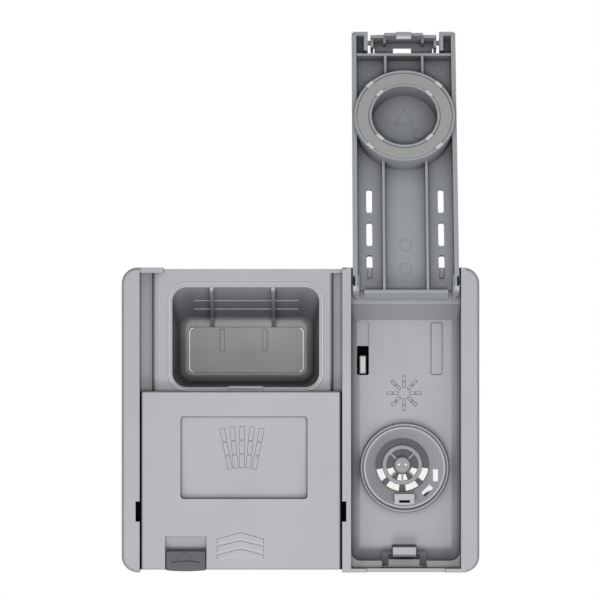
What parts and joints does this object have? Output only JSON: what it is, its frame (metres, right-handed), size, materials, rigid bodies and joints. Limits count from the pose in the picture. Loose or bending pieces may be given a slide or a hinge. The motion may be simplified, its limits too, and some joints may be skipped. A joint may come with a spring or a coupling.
{
  "type": "dishwasher detergent dispenser",
  "caption": "Grey plastic dishwasher door dispenser: a sliding powder cover half open over its tub, and a long rinse-aid lid swung open past flat over its trough.",
  "frame": {"origin": "middle of the door cut-out, on the plane where the gasket seats on the door liner", "axes": "+X to the right across the front, +Y up the door towards the lid's hinge, +Z out of the door towards the user"},
  "size_m": [0.176, 0.2692, 0.0706],
  "materials": {
    "grey_plastic": "fine satin texture",
    "cover_plastic": "satin",
    "dark_plastic": "satin",
    "pale_plastic": "satin",
    "tank_plastic": "natural, slightly cloudy",
    "black_plastic": "satin",
    "grey_rubber": "matte",
    "steel": "bright",
    "zinc_steel": "zinc plated",
    "brass": "tinned edge"
  },
  "bodies": {
    "housing": {"housing": "grey_plastic", "door_gasket": "grey_rubber", "rinse_tank": "tank_plastic", "tank_screws": "zinc_steel", "tank_seal": "grey_rubber", "filler_bowl": "pale_plastic", "strainer": "dark_plastic", "strainer_rings": "pale_plastic", "rear_cover": "black_plastic", "cover_screws": "zinc_steel", "actuator_frame": "zinc_steel", "actuator_coil": "black_plastic", "connector_terminals": "brass", "lever_pin": "steel", "level_sensor": "black_plastic", "drive_spring": "steel", "plunger_spring": "steel", "valve_spring": "steel"},
    "cover": {"slide_cover": "cover_plastic", "catch_spring": "steel"},
    "catch": {"cover_catch": "dark_plastic"},
    "lid": {"rinse_lid": "grey_plastic", "lid_seal": "grey_rubber"},
    "latch": {"lid_latch": "grey_plastic"},
    "plunger": {"actuator_plunger": "steel"},
    "lever": {"release_lever": "pale_plastic"},
    "valve": {"dosing_valve": "pale_plastic", "valve_seal": "grey_rubber"},
    "float": {"level_float": "dark_plastic"}
  },
  "joints": [
    {"name": "cover_slide", "type": "slide", "parent": "housing", "child": "cover", "axis": [0, 1, 0], "range_m": [0, 0.057], "stiffness_N_per_m": 35, "springref_m": -0.012, "deforming": ["drive_spring"]},
    {"name": "catch_press", "type": "slide", "parent": "cover", "child": "catch", "axis": [0, 0, -1], "range_m": [0, 0.0014], "stiffness_N_per_m": 900, "springref_m": -0.001, "deforming": ["catch_spring"]},
    {"name": "lid_hinge", "type": "hinge", "parent": "housing", "child": "lid", "pos_m": [0.0519, 0.0661, 0.0125], "axis": [1, 0, 0], "range_deg": [0, 204.5]},
    {"name": "latch_turn", "type": "hinge", "parent": "lid", "child": "latch", "pos_m": [0.0519, 0.18863, -0.04224], "axis": [-1, 0, 0], "range_deg": [0, 10], "stiffness_Nm_per_rad": 0.06, "springref_deg": -5.73},
    {"name": "plunger_pull", "type": "slide", "parent": "housing", "child": "plunger", "axis": [1, 0, 0], "range_m": [0, 0.0023], "stiffness_N_per_m": 700, "springref_m": -0.001, "deforming": ["plunger_spring"]},
    {"name": "lever_turn", "type": "hinge", "parent": "housing", "child": "lever", "pos_m": [-0.066, -0.03, 0.0018], "axis": [0, 0, 1], "range_deg": [0, 8]},
    {"name": "valve_press", "type": "slide", "parent": "housing", "child": "valve", "axis": [0, 0, -1], "range_m": [0, 0.002], "stiffness_N_per_m": 400, "springref_m": -0.001, "deforming": ["valve_spring"]},
    {"name": "float_rise", "type": "slide", "parent": "housing", "child": "float", "axis": [0, 0, 1], "range_m": [0, 0.012]}
  ],
  "couplings": [
    {"joint": "lever_turn", "follows": "plunger_pull", "rad_per_m": 60.7}
  ]
}
